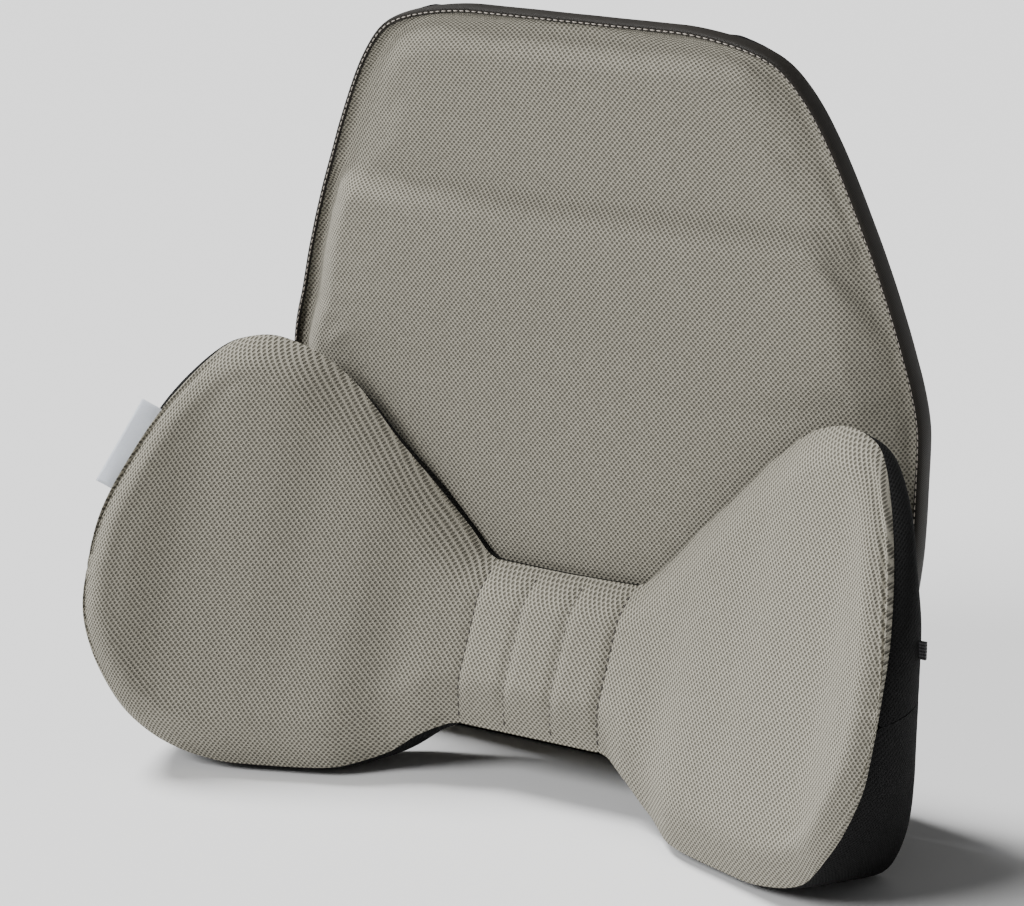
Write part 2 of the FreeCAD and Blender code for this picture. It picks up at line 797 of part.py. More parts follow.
os.makedirs("parts", exist_ok=True)
for thing in doc.Objects:
    bad = {"Invalid", "Error"} & set(thing.State)
    if bad:
        raise RuntimeError(f"{thing.Label} is {bad}")
faulty = [
    thing.Label for thing in nodes
    if thing.Shape.isNull() or not thing.Shape.isValid() or not thing.Shape.Solids or thing.Shape.Volume <= 0
]
if faulty:
    raise RuntimeError(f"no valid solid: {faulty}")
for thing in nodes:
    thing.Shape.exportStep(os.path.join("parts", f"{thing.Label}.step"))
    box = thing.Shape.BoundBox
    print(
        f"{thing.Label:32s} solids {len(thing.Shape.Solids)} volume {thing.Shape.Volume / 1000:8.1f} cm3  "
        f"x {box.XMin:7.1f} {box.XMax:7.1f}  y {box.YMin:7.1f} {box.YMax:7.1f}  z {box.ZMin:7.1f} {box.ZMax:7.1f}"
    )
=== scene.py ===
"""Lumbar support: visual model of a padded back panel with a winged hip cushion in front of it."""
import json
import math

import bpy
import numpy as np
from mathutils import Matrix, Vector


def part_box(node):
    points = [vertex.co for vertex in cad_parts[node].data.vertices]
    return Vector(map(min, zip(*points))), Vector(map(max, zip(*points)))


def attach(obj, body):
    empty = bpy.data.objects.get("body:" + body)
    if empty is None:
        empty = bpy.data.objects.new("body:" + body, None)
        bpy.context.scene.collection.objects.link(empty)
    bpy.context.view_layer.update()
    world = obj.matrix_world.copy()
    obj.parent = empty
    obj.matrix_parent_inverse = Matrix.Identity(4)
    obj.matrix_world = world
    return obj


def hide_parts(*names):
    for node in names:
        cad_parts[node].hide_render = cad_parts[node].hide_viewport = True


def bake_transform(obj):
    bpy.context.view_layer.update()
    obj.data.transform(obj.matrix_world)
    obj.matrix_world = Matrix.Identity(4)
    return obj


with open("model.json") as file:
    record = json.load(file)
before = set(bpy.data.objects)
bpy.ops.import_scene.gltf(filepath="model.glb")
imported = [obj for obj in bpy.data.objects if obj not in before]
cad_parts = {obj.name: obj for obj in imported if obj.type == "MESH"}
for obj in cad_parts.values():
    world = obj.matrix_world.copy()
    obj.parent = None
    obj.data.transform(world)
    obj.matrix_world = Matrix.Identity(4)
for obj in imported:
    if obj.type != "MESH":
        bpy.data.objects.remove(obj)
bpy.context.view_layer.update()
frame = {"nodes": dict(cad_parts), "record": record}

MM = 0.001
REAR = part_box("back_rear_cover_lower")[1][1] / MM
SEED = 7

# ---------------------------------------------------------------- shapes in numbers, all in millimetres

# place along the half, x, seam heights low and high, how far each seam is in front of the panel's rear face,
# side wall depth low and high, how much lower and higher its rear edge is, crown
HIP = np.array((
    (0, 0, 32, 111, 79, 39, 46, 6.5, 0, -2, 16),
    (43, 43, 32, 112, 79, 39, 46, 6.5, 0, -2, 15),
    (60, 60, 26, 127, 88, 38, 48, 6, 0, -2, 14),
    (80, 80, 12, 149, 95, 41, 45, 8, 0, -3, 14),
    (102, 102, 6, 172, 113, 44, 48, 9, 0, -6, 14),
    (125, 125, 5, 197, 122, 45, 47, 9, 0, -9, 14),
    (153, 153, 5, 218, 132, 54, 49, 10, 1, -12, 15),
    (172, 172, 8, 223, 138, 60, 54, 11, 4, -12, 16),
    (190, 190, 15, 219, 144, 68, 62, 12, 11, -7, 17),
    (208, 209, 37, 195, 156, 92, 74, 18, 32, 2, 18),
    (226, 222, 60, 164, 158, 116, 68, 25, 28, 6, 17),
    (242, 229.5, 84, 134, 156, 137, 55, 38, 16, 6, 13),
    (256, 231, 107, 107, 150, 150, 47, 47, 0, 0, 7),
))
WAIST = 42.0
PLEATS = (-42.0, -14.0, 14.0, 42.0)
PLEAT_WIDTH = 2.3
PLEAT_DEPTH = 2.2
HIP_BEVEL = 25.0

# height, share of the half width, depth of the padding
PANEL = np.array((
    (0, 0.62, 16), (18, 0.78, 22), (49, 0.90, 29), (104, 0.965, 30), (154, 0.995, 30), (204, 1.0, 30),
    (249, 0.95, 30), (280, 0.901, 30), (296, 0.872, 30), (314, 0.836, 19), (344, 0.772, 19), (370, 0.705, 21),
    (384, 0.655, 22), (393, 0.612, 21), (399, 0.56, 20), (403.5, 0.49, 18), (406.5, 0.37, 16),
))
PANEL_HEIGHT = 406.5
PANEL_HALF = 189.0
PANEL_BEVEL = 20.0
PANEL_HEM = 7.0
PANEL_RIM = 11.0
BEND_START = 235.0
BEND_LEAN = 0.112
BEND_CURL = 5.5
CURL_POWER = 6
BAND_DEPTH = 13.0
FRONT_SEAM_INSET = 1.9
REAR_HEM = 3.0
ZIP_LEVEL = 200.0
ZIP_HALF = 129.0
ZIP_SLIT = 6.0
ZIP_STITCH_HALF = 170.0
ZIP_STITCH_ASIDE = 2.5

# length, gap and thread radius of the sewn rows
EDGE_STITCH = (2.6, 1.1, 0.32)
ZIP_STITCH = (2.6, 1.1, 0.3)
PLEAT_STITCH = (3.4, 1.6, 0.42)

LABEL_REACH = 13.0

# in metres: how far apart the knit's rows are, and its holes along a row
KNIT_ROW = 0.00150
KNIT_HOLE = 0.00270

FLOOR_HALF = 30
CAMERA_AZIMUTH = math.radians(30.46)
CAMERA_ELEVATION = math.radians(17.03)
CAMERA_DISTANCE = 1.8194
CAMERA_LENS = 126.0
CAMERA_SENSOR = 36.0


def monotone(keys, values, at):
    """Values at places between keys, on a smooth curve that never overshoots."""
    step = np.diff(keys)
    rate = np.diff(values) / step
    left, right = rate[:-1], rate[1:]
    same = left * right > 0
    middle = np.where(same, 2 * left * right / np.where(same, left + right, 1), 0)
    slope = np.concatenate([rate[:1], middle, rate[-1:]])
    i = np.clip(np.searchsorted(keys, at) - 1, 0, len(step) - 1)
    t = (at - keys[i]) / step[i]
    a, b = values[i], values[i + 1]
    before, after = slope[i] * step[i], slope[i + 1] * step[i]
    c = 3 * (b - a) - 2 * before - after
    d = 2 * (a - b) + before + after
    return a + before * t + c * t ** 2 + d * t ** 3


def hip_at(places):
    """Columns of the hip table at signed places: x is mirrored, the rest is even."""
    far = np.abs(places)
    columns = [monotone(HIP[:, 0], HIP[:, k], far) for k in range(1, HIP.shape[1])]
    columns[0] = np.sign(places) * columns[0]
    return columns


def bend(z):
    """How far the panel leans forward at a height, with a curl on top."""
    rise = np.clip(z - BEND_START, 0, None)
    share = rise / (PANEL_HEIGHT - BEND_START)
    return BEND_LEAN * rise + BEND_CURL * share ** CURL_POWER


def nearest(points, line):
    """Distance from each point of a grid to the nearest point of a line."""
    flat = points.reshape(-1, points.shape[-1])
    found = np.empty(len(flat))
    for start in range(0, len(flat), 2000):
        part = flat[start:start + 2000]
        found[start:start + 2000] = np.sqrt(((part[:, None] - line[None]) ** 2).sum(2)).min(1)
    return found.reshape(points.shape[:-1])


def knee(distance, width):
    """Rise of a padded edge: steep at the seam, level after a width."""
    return 1 - (1 - np.clip(distance / width, 0, 1)) ** 1.7


# ---------------------------------------------------------------- meshes

def lengths(grid, axis):
    """Distance run along one axis of a grid of points, counted from its middle."""
    step = np.sqrt((np.diff(grid, axis=axis) ** 2).sum(-1))
    pad = [(0, 0), (0, 0)]
    pad[axis] = (1, 0)
    run = np.pad(np.cumsum(step, axis=axis), pad)
    return run - np.take(run, [grid.shape[axis] // 2], axis=axis)


def sheet_mesh(name, grid, flip=False, closed=False, uv=None):
    """A mesh from a grid of points in millimetres, with UVs in metres along the sheet."""
    rows, columns = grid.shape[:2]
    if uv is None:
        uv = np.stack([lengths(grid, 0), lengths(grid, 1)], -1)
    index = np.arange(rows * columns).reshape(rows, columns)
    if closed:
        index = np.vstack([index, index[:1]])
        last = uv[-1:] + (uv[-1:] - uv[-2:-1])
        uv = np.vstack([uv, last])
    corners = [index[:-1, :-1], index[1:, :-1], index[1:, 1:], index[:-1, 1:]]
    corner_uv = [uv[:-1, :-1], uv[1:, :-1], uv[1:, 1:], uv[:-1, 1:]]
    if flip:
        corners, corner_uv = corners[::-1], corner_uv[::-1]
    faces = np.stack([c.ravel() for c in corners], 1)
    loops = np.stack([c.reshape(-1, 2) for c in corner_uv], 1).reshape(-1, 2)
    mesh = bpy.data.meshes.new(name)
    mesh.from_pydata((grid.reshape(-1, 3) * MM).tolist(), [], faces.tolist())
    layer = mesh.uv_layers.new(name="metres")
    layer.data.foreach_set("uv", (loops * MM).ravel())
    mesh.shade_smooth()
    obj = bpy.data.objects.new(name, mesh)
    bpy.context.scene.collection.objects.link(obj)
    return obj


def settle(obj, pins, pressure, slack, cap, frames=18):
    """Inflates a sheet that is held at its pins; gives how its points moved, in mm and never past the cap."""
    count = len(obj.data.vertices)
    start = np.empty(count * 3)
    obj.data.vertices.foreach_get("co", start)
    group = obj.vertex_groups.new(name="pin")
    group.add([int(p) for p in pins], 1.0, "REPLACE")
    cloth = obj.modifiers.new("cloth", "CLOTH")
    fabric = cloth.settings
    fabric.quality = 6
    fabric.mass = 0.2
    fabric.tension_stiffness = 25
    fabric.compression_stiffness = 25
    fabric.shear_stiffness = 12
    fabric.bending_stiffness = 0.6
    fabric.vertex_group_mass = "pin"
    fabric.use_pressure = True
    fabric.uniform_pressure_force = pressure
    fabric.shrink_min = -slack
    fabric.effector_weights.gravity = 0
    cloth.collision_settings.use_collision = False
    scene = bpy.context.scene
    for number in range(1, frames + 1):
        scene.frame_set(number)
    ready = obj.evaluated_get(bpy.context.evaluated_depsgraph_get())
    end = np.empty(count * 3)
    ready.data.vertices.foreach_get("co", end)
    obj.modifiers.remove(cloth)
    obj.vertex_groups.remove(group)
    scene.frame_set(1)
    moved = (end - start).reshape(-1, 3) / MM
    size = np.linalg.norm(moved, axis=1, keepdims=True)
    return moved * (np.tanh(size / cap) * cap / np.maximum(size, 1e-9))


def rings_of(columns, rows):
    """Indices of a grid's four edges."""
    index = np.arange(columns * rows).reshape(columns, rows)
    return np.unique(np.concatenate([index[0], index[-1], index[:, 0], index[:, -1]]))


def finer(obj):
    """Divides a sheet once more, for a smooth outline."""
    division = obj.modifiers.new("finer", "SUBSURF")
    division.levels = division.render_levels = 1


# ---------------------------------------------------------------- materials

class Nodes:
    """A short way to write a node tree."""

    def __init__(self, name):
        self.material = bpy.data.materials.new(name)
        self.material.use_nodes = True
        self.tree = self.material.node_tree
        self.shader = self.tree.nodes["Principled BSDF"]

    def add(self, kind, **values):
        made = self.tree.nodes.new(kind)
        for key, value in values.items():
            setattr(made, key, value)
        return made

    def link(self, source, target):
        if isinstance(source, (int, float)):
            target.default_value = source
        else:
            self.tree.links.new(source, target)

    def math(self, operation, *inputs):
        made = self.add("ShaderNodeMath", operation=operation)
        for value, socket in zip(inputs, made.inputs):
            self.link(value, socket)
        return made.outputs[0]

    def ramp(self, value, low, high, to_low=0.0, to_high=1.0):
        made = self.add("ShaderNodeMapRange", interpolation_type="SMOOTHSTEP")
        for source, socket in zip((value, low, high, to_low, to_high), made.inputs):
            self.link(source, socket)
        return made.outputs[0]

    def mix(self, factor, a, b):
        made = self.add("ShaderNodeMix", data_type="RGBA")
        self.link(factor, made.inputs["Factor"])
        for value, name in ((a, "A"), (b, "B")):
            socket = next(s for s in made.inputs if s.name == name and s.type == "RGBA")
            if isinstance(value, tuple):
                socket.default_value = (*value, 1)
            else:
                self.link(value, socket)
        return next(s for s in made.outputs if s.type == "RGBA")

    def noise(self, scale, detail=2.0, vector=None):
        made = self.add("ShaderNodeTexNoise")
        made.inputs["Scale"].default_value = scale
        made.inputs["Detail"].default_value = detail
        place = vector or self.add("ShaderNodeTexCoord").outputs["Object"]
        self.link(place, made.inputs["Vector"])
        return made.outputs["Fac"]

    def uv(self):
        place = self.add("ShaderNodeUVMap", uv_map="metres")
        parts = self.add("ShaderNodeSeparateXYZ")
        self.link(place.outputs[0], parts.inputs[0])
        return parts.outputs[0], parts.outputs[1]

    def finish(self, color, roughness, height=None, bump=0.0005, sheen=0.0, **sockets):
        if isinstance(color, tuple):
            self.shader.inputs["Base Color"].default_value = (*color, 1)
        else:
            self.link(color, self.shader.inputs["Base Color"])
        self.link(roughness, self.shader.inputs["Roughness"])
        self.shader.inputs["Sheen Weight"].default_value = sheen
        self.shader.inputs["Sheen Roughness"].default_value = 0.5
        for name, value in sockets.items():
            self.shader.inputs[name.replace("_", " ")].default_value = value
        if height is not None:
            made = self.add("ShaderNodeBump")
            made.inputs["Distance"].default_value = bump
            made.inputs["Strength"].default_value = 1.0
            self.link(height, made.inputs["Height"])
            self.link(made.outputs[0], self.shader.inputs["Normal"])
        return self.material


def knit(name, light, dark, shade, sheen):
    """Spacer knit: staggered rows of small holes between raised stitches, the holes coloured dark as painted
    shade.
    """
    n = Nodes(name)
    u, v = n.uv()
    above_zero = 1000.0
    row = n.math("DIVIDE", v, KNIT_ROW)
    odd = n.math("MULTIPLY", n.math("MODULO", n.math("FLOOR", n.math("ADD", row, above_zero)), 2.0), 0.5)
    hole = n.math("ADD", n.math("DIVIDE", u, KNIT_HOLE), odd)
    du = n.math("SUBTRACT", n.math("FRACT", n.math("ADD", hole, above_zero)), 0.5)
    dv = n.math("SUBTRACT", n.math("FRACT", n.math("ADD", row, above_zero)), 0.5)
    du2 = n.math("POWER", n.math("MULTIPLY", n.math("ABSOLUTE", du), 2.0), 2.0)
    dv2 = n.math("POWER", n.math("MULTIPLY", n.math("ABSOLUTE", dv), 1.15), 2.0)
    far = n.math("SQRT", n.math("ADD", du2, dv2))
    raised = n.ramp(far, 0.30, 0.72)
    fibre = n.noise(2600.0, 1.0)
    patch = n.noise(14.0, 3.0)
    streak = n.noise(420.0, 2.0)
    tone = n.math("ADD", n.math("MULTIPLY", fibre, 0.5), n.math("MULTIPLY", streak, 0.5))
    yarn = n.mix(n.ramp(tone, 0.35, 0.65), shade, light)
    yarn = n.mix(n.ramp(patch, 0.3, 0.75, 0.0, 0.22), yarn, shade)
    # The holes take the dark colour: painted shade inside the holes, not a colour of the yarn.
    color = n.mix(raised, dark, yarn)
    height = n.math("ADD", raised, n.math("MULTIPLY", fibre, 0.35))
    return n.finish(color, 0.88, height, 0.0007, sheen, Specular_IOR_Level=0.15)


def plain_weave(name, light, dark, pitch, rough=0.85, sheen=0.2, bump=0.0003):
    """Plain woven cloth of over and under threads."""
    n = Nodes(name)
    u, v = n.uv()
    wave_u = n.math("SINE", n.math("MULTIPLY", u, math.tau / pitch))
    wave_v = n.math("SINE", n.math("MULTIPLY", v, math.tau / pitch))
    weave = n.math("MULTIPLY", wave_u, wave_v)
    tone = n.ramp(n.math("ADD", weave, n.noise(900.0)), -0.2, 1.2)
    wear = n.ramp(n.noise(18.0, 4.0), 0.35, 0.75, 0.0, 0.35)
    color = n.mix(wear, n.mix(tone, dark, light), light)
    return n.finish(color, rough, weave, bump, sheen)


def ribbed(name, light, dark, pitch, rough=0.7):
    """Webbing or tape with ribs across its length."""
    n = Nodes(name)
    place = n.add("ShaderNodeTexCoord").outputs["Object"]
    parts = n.add("ShaderNodeSeparateXYZ")
    n.link(place, parts.inputs[0])
    ribs = n.math("SINE", n.math("MULTIPLY", parts.outputs[2], math.tau / pitch))
    cross = n.math("SINE", n.math("MULTIPLY", parts.outputs[0], math.tau / (pitch * 0.7)))
    height = n.math("ADD", ribs, n.math("MULTIPLY", cross, 0.5))
    tone = n.ramp(n.math("ADD", height, n.noise(700.0)), -1.0, 1.8)
    return n.finish(n.mix(tone, dark, light), rough, height, 0.00025, 0.15)


def smooth_tape(name, light, dark):
    """Smooth folded tape with a fine twill."""
    n = Nodes(name)
    u, v = n.uv()
    twill = n.math("SINE", n.math("MULTIPLY", n.math("ADD", u, v), math.tau / 0.0011))
    tone = n.ramp(n.math("ADD", n.math("MULTIPLY", twill, 0.3), n.noise(60.0, 4.0)), 0.1, 0.9)
    return n.finish(n.mix(tone, dark, light), 0.62, twill, 0.00012, 0.0, Specular_IOR_Level=0.25)


def thread(name, color):
    """Twisted sewing thread."""
    n = Nodes(name)
    twist = n.noise(1800.0)
    dark = tuple(c * 0.7 for c in color)
    return n.finish(n.mix(twist, dark, color), 0.6, twist, 0.0002, 0.1)


def moulded(name, color, rough):
    """Moulded plastic with a fine grain and slightly paler wear."""
    n = Nodes(name)
    grain = n.noise(1500.0, 3.0)
    wear = n.ramp(n.noise(35.0, 5.0), 0.45, 0.8, 0.0, 0.4)
    pale = tuple(min(1, c * 2.2 + 0.02) for c in color)
    tone = n.mix(wear, color, pale)
    return n.finish(tone, n.ramp(grain, 0.2, 0.8, rough - 0.08, rough + 0.1), grain, 0.00008)


def metal(name, color, rough):
    """Cast metal with faint scratches."""
    n = Nodes(name)
    scratch = n.noise(240.0, 6.0)
    tone = n.mix(scratch, tuple(c * 0.75 for c in color), color)
    gloss = n.ramp(scratch, 0.3, 0.7, rough - 0.07, rough + 0.12)
    return n.finish(tone, gloss, scratch, 0.00005, Metallic=1.0)


def foam(name, color):
    """Open-cell foam."""
    n = Nodes(name)
    cells = n.noise(900.0, 2.0)
    return n.finish(n.mix(cells, tuple(c * 0.8 for c in color), color), 0.95, cells, 0.0004)


MATERIALS = {
    # In both knits, dark is the painted shade inside the holes.
    "knit_face": knit(
        "greige_knit", light=(0.375, 0.354, 0.292), dark=(0.105, 0.098, 0.078), shade=(0.31, 0.292, 0.24),
        sheen=0.03,
    ),
    "knit_side": knit(
        "black_knit", light=(0.0085, 0.0085, 0.0088), dark=(0.002, 0.002, 0.002), shade=(0.005, 0.005, 0.005),
        sheen=0.0,
    ),
    "rear_fabric": plain_weave("black_woven", (0.040, 0.040, 0.044), (0.016, 0.016, 0.018), 0.0016),
    "binding": smooth_tape("brown_tape", (0.022, 0.019, 0.015), (0.012, 0.010, 0.008)),
    "foam": foam("pale_foam", (0.70, 0.66, 0.52)),
    "gel": moulded("blue_gel", (0.10, 0.22, 0.42), 0.3),
    "board": moulded("board", (0.03, 0.03, 0.03), 0.5),
    "webbing": ribbed("webbing", (0.035, 0.035, 0.038), (0.012, 0.012, 0.014), 0.0016),
    "hook_loop": ribbed("hook_loop", (0.040, 0.040, 0.042), (0.010, 0.010, 0.012), 0.0009, 0.95),
    "buckle": moulded("acetal", (0.018, 0.018, 0.020), 0.38),
    "zip_metal": metal("zip_metal", (0.45, 0.45, 0.47), 0.35),
    "zip_tape": ribbed("zip_tape", (0.035, 0.035, 0.038), (0.014, 0.014, 0.016), 0.0010),
    "zip_coil": moulded("zip_coil", (0.022, 0.022, 0.024), 0.32),
    "label": plain_weave("label_satin", (0.80, 0.84, 0.90), (0.62, 0.67, 0.76), 0.0007, 0.42, 0.3, 0.00012),
    "thread_light": thread("light_thread", (0.42, 0.38, 0.33)),
    "thread_dark": thread("dark_thread", (0.045, 0.038, 0.033)),
}


def dress(obj, material, body=None):
    """Gives a piece its material, and the body that it rides on."""
    obj.data.materials.clear()
    obj.data.materials.append(MATERIALS[material])
    if body:
        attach(obj, body)
    return obj


def dress_cad():
    """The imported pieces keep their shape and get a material; hard ones get softened edges."""
    for row in frame["record"]["subparts"]:
        obj = frame["nodes"][row["node"]]
        for place in obj.material_slots:
            place.material = MATERIALS[row["material_slot"]]
        if row["material_slot"] in ("buckle", "zip_metal", "webbing", "zip_coil", "hook_loop"):
            edge = obj.modifiers.new("edge", "BEVEL")
            edge.width = 0.0008 if row["material_slot"] == "buckle" else 0.0003
            edge.segments = 3
            edge.limit_method = "ANGLE"


# ---------------------------------------------------------------- thread

def stitches(name, path, normal, size, material):
    """A row of sewn stitches along a path, each a short rounded thread that dips in at its ends."""
    length, gap, radius = size
    step = np.sqrt((np.diff(path, axis=0) ** 2).sum(1))
    run = np.concatenate([[0], np.cumsum(step)])
    starts = np.arange(gap / 2, run[-1] - length, length + gap)
    along = np.linspace(0, 1, 7)
    sides = 8
    turns = np.linspace(0, math.tau, sides, endpoint=False)
    vertices, faces = [], []
    for start in starts:
        places = start + along * length
        line = np.stack([np.interp(places, run, path[:, k]) for k in range(3)], 1)
        up = np.stack([np.interp(places, run, normal[:, k]) for k in range(3)], 1)
        way = line[-1] - line[0]
        way /= np.linalg.norm(way)
        side = np.cross(up, way)
        side /= np.linalg.norm(side, axis=1, keepdims=True)
        lift = radius * (1.5 * np.sin(np.pi * along) - 0.5)[:, None]
        thick = radius * (0.55 + 0.45 * np.sin(np.pi * along))[:, None, None]
        ring = np.cos(turns)[None, :, None] * side[:, None] + np.sin(turns)[None, :, None] * up[:, None]
        base = len(vertices)
        vertices.extend(((line + up * lift)[:, None] + ring * thick).reshape(-1, 3))
        for this in range(base, base + (len(along) - 1) * sides, sides):
            after = this + sides
            for j in range(sides):
                k = (j + 1) % sides
                faces.append([this + j, this + k, after + k, after + j])
        last = base + (len(along) - 1) * sides
        faces.append([base + j for j in range(sides)][::-1])
        faces.append([last + j for j in range(sides)])
    mesh = bpy.data.meshes.new(name)
    mesh.from_pydata((np.array(vertices) * MM).tolist(), [], faces)
    mesh.shade_smooth()
    obj = bpy.data.objects.new(name, mesh)
    bpy.context.scene.collection.objects.link(obj)
    obj.data.materials.append(MATERIALS[material])
    return obj


# ---------------------------------------------------------------- back panel

def panel_half(z):
    """Half the panel's width at a height."""
    return PANEL_HALF * monotone(PANEL[:, 0], PANEL[:, 1], z)


def panel_outline(inset=0.0):
    """The panel's outline as a closed loop (x, z), anticlockwise from the bottom left."""
    side = np.linspace(inset, PANEL_HEIGHT - inset, 150)
    half = panel_half(side) - inset
    bottom = np.linspace(-half[0], half[0], 60)[1:-1]
    top = np.linspace(half[-1], -half[-1], 40)[1:-1]
    x = np.concatenate([bottom, half, top, -half[::-1]])
    z = np.concatenate([np.full(len(bottom), side[0]), side, np.full(len(top), side[-1]), side[::-1]])
    loop = np.stack([x, z], 1)
    return smooth_loop(loop, 5)


def smooth_loop(loop, times):
    """A closed loop with each point drawn towards its neighbours."""
    for _ in range(times):
        loop = (np.roll(loop, 1, 0) + 2 * loop + np.roll(loop, -1, 0)) / 4
    return loop


def loop_normals(loop):
    """Outward unit normals of a closed anticlockwise loop."""
    way = np.roll(loop, -1, 0) - np.roll(loop, 1, 0)
    out = np.stack([way[:, 1], -way[:, 0]], 1)
    return out / np.linalg.norm(out, axis=1, keepdims=True)


def panel_grid(inset, columns, rows):
    """A grid (x, z) over the panel, closer near its edges."""
    u = np.linspace(-1, 1, columns)
    u = 0.7 * u + 0.3 * np.sin(u * np.pi / 2)
    v = np.linspace(0, 1, rows)
    z = inset + v * (PANEL_HEIGHT - 2 * inset)
    half = np.minimum(panel_half(z - inset), panel_half(z + inset)) - inset
    x = u[:, None] * half[None]
    return x, np.broadcast_to(z[None], x.shape)


def build_panel_front():
    """The padded knit front, inflated between its edges."""
    x, z = panel_grid(FRONT_SEAM_INSET, columns=92, rows=98)
    flat = np.stack([x, z], -1)
    distance = nearest(flat, panel_outline(FRONT_SEAM_INSET))
    depth = monotone(PANEL[:, 0], PANEL[:, 2], z)
    rise = knee(distance - PANEL_HEM, PANEL_BEVEL)
    slack = 4 * rise * (1 - rise) * np.clip((x - 60) / 40, 0, 1)
    ripple = 0.55 * np.sin(z * 0.16 + x * 0.22) + 0.35 * np.sin(z * 0.31 - x * 0.12 + 1.0)
    y = REAR - bend(z) - PANEL_RIM - (depth - PANEL_RIM) * rise - ripple * slack
    grid = np.stack([x, y, z], -1)
    obj = sheet_mesh("panel_front_fabric", grid)
    pins = rings_of(*x.shape)
    moved = settle(obj, pins, pressure=0.7, slack=0.010, cap=2.2).reshape(grid.shape)
    reshape(obj, grid + moved)
    finer(obj)
    dress(obj, "knit_face", "back_panel")
    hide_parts("back_front_cover", "back_foam_core")


def reshape(obj, grid):
    """Writes a grid back to a piece's points, with its UVs kept from before."""
    obj.data.vertices.foreach_set("co", (grid * MM).ravel())
    obj.data.update()


def build_binding():
    """The tape round the panel's edge, folded from the front to the rear."""
    loop = panel_outline()
    out = loop_normals(loop)
    profile = np.array((
        (-3.4, BAND_DEPTH - 0.6), (-2.4, BAND_DEPTH + 0.3), (-1.2, BAND_DEPTH + 0.2),
        (-0.3, BAND_DEPTH - 0.7), (0.1, BAND_DEPTH - 2.2),
        (0.4, 9.0), (0.5, 6.5), (0.4, 4.0), (0.1, 1.8), (-0.4, 0.4),
        (-1.4, -0.5), (-3.5, -0.7), (-6.5, -0.6), (-7.6, -0.1), (-7.8, 0.6),
    ))
    ripple = np.random.default_rng(SEED).normal(0, 1, len(loop))
    ripple = smooth_loop(ripple[:, None], 6)[:, 0] * 0.5
    rings = []
    for aside, depth in profile:
        place = loop + out * (aside + ripple * 0.25)[:, None]
        y = REAR - bend(np.clip(place[:, 1], 0, PANEL_HEIGHT)) - depth
        rings.append(np.stack([place[:, 0], y, np.maximum(place[:, 1], 0.1)], 1))
    grid = np.stack(rings, 1)
    obj = sheet_mesh("panel_edge_binding", grid, closed=True)
    finer(obj)
    dress(obj, "binding", "back_panel")
    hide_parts("back_edge_binding")
    build_binding_stitches(loop, out)


def build_binding_stitches(loop, out):
    """One row near the binding's front edge, and one on its rear fold."""
    for name, aside, depth, side, material in (
        ("binding_stitch_front", -2.3, BAND_DEPTH + 0.35, -1, "thread_light"),
        ("binding_stitch_rear", -5.6, -0.75, 1, "thread_dark"),
    ):
        place = loop + out * aside
        y = REAR - bend(place[:, 1]) - depth
        path = np.stack([place[:, 0], y, place[:, 1]], 1)
        normal = np.stack([np.zeros(len(y)), np.full(len(y), side), np.zeros(len(y))], 1)
        row = stitches(name, path, normal, EDGE_STITCH, material)
        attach(row, "back_panel")


def build_panel_rear():
    """The two woven rear covers above and below the zip, each slightly full between its edges."""
    for name, low, high, node in (
        ("panel_rear_fabric_upper", ZIP_LEVEL + ZIP_SLIT, PANEL_HEIGHT - REAR_HEM, "back_rear_cover_upper"),
        ("panel_rear_fabric_lower", REAR_HEM, ZIP_LEVEL - ZIP_SLIT, "back_rear_cover_lower"),
    ):
        u = np.linspace(-1, 1, 80)
        z = np.linspace(low, high, 50)
        half = panel_half(z) - REAR_HEM
        x = u[:, None] * half[None]
        zz = np.broadcast_to(z[None], x.shape)
        edge = np.minimum(half[None] - np.abs(x), np.minimum(zz - low, high - zz))
        soft = np.sin(x * 0.045 + 1.3) * np.sin(zz * 0.06 + 0.4) * 0.35
        full = 0.25 + (0.25 + soft) * np.clip(edge / 30, 0, 1)
        y = REAR - bend(zz) + full
        beyond = np.clip((np.abs(x) - ZIP_HALF) / 5, 0, 1)
        near = np.clip(1 - np.abs(zz - ZIP_LEVEL) / 40, 0, 1)
        zz = zz + (ZIP_LEVEL - zz) * beyond * near ** 3 * 1.45
        hem = np.clip(1 - edge / 1.2, 0, 1) * (1 - beyond)
        y = y - hem * 0.5
        obj = sheet_mesh(name, np.stack([x, y, zz], -1), flip=True)
        finer(obj)
        dress(obj, "rear_fabric", "back_panel")
        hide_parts(node)
    build_zip_stitches()


def build_zip_stitches():
    """A sewn row above the zip and one below."""
    count = 120
    for name, side in (("zip_stitch_upper", 1), ("zip_stitch_lower", -1)):
        x = np.linspace(-ZIP_STITCH_HALF, ZIP_STITCH_HALF, count)
        level = ZIP_LEVEL + side * (ZIP_SLIT + ZIP_STITCH_ASIDE)
        path = np.stack([x, np.full(count, REAR + 0.7), np.full(count, level)], 1)
        normal = np.tile((0.0, 1.0, 0.0), (count, 1))
        row = stitches(name, path, normal, ZIP_STITCH, "thread_dark")
        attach(row, "back_panel")


# ---------------------------------------------------------------- hip cushion

def hip_places():
    """Places of the cushion's upright sections, with one at each pleat."""
    tip = HIP[-1, 0]
    pleat = PLEATS[2]
    inner = np.linspace(0, pleat, 6)[:-1]
    middle = np.linspace(pleat, WAIST, 11)[:-1]
    outer = WAIST + (tip - WAIST) * np.linspace(0, 1, 50)
    half = np.concatenate([inner, middle, outer])
    return np.concatenate([-half[:0:-1], half])


def hip_seams(places):
    """The front seam's lower and upper lines, and the rear seam's."""
    x, z_low, z_high, lead_low, lead_high, wall_low, wall_high, drop, rise, _ = hip_at(places)
    low = np.stack([x, REAR - lead_low, z_low], 1)
    high = np.stack([x, REAR - lead_high, z_high], 1)
    rear_low = low + np.stack([0 * x, wall_low, -drop], 1)
    rear_high = high + np.stack([0 * x, wall_high, rise], 1)
    return low, high, rear_low, rear_high


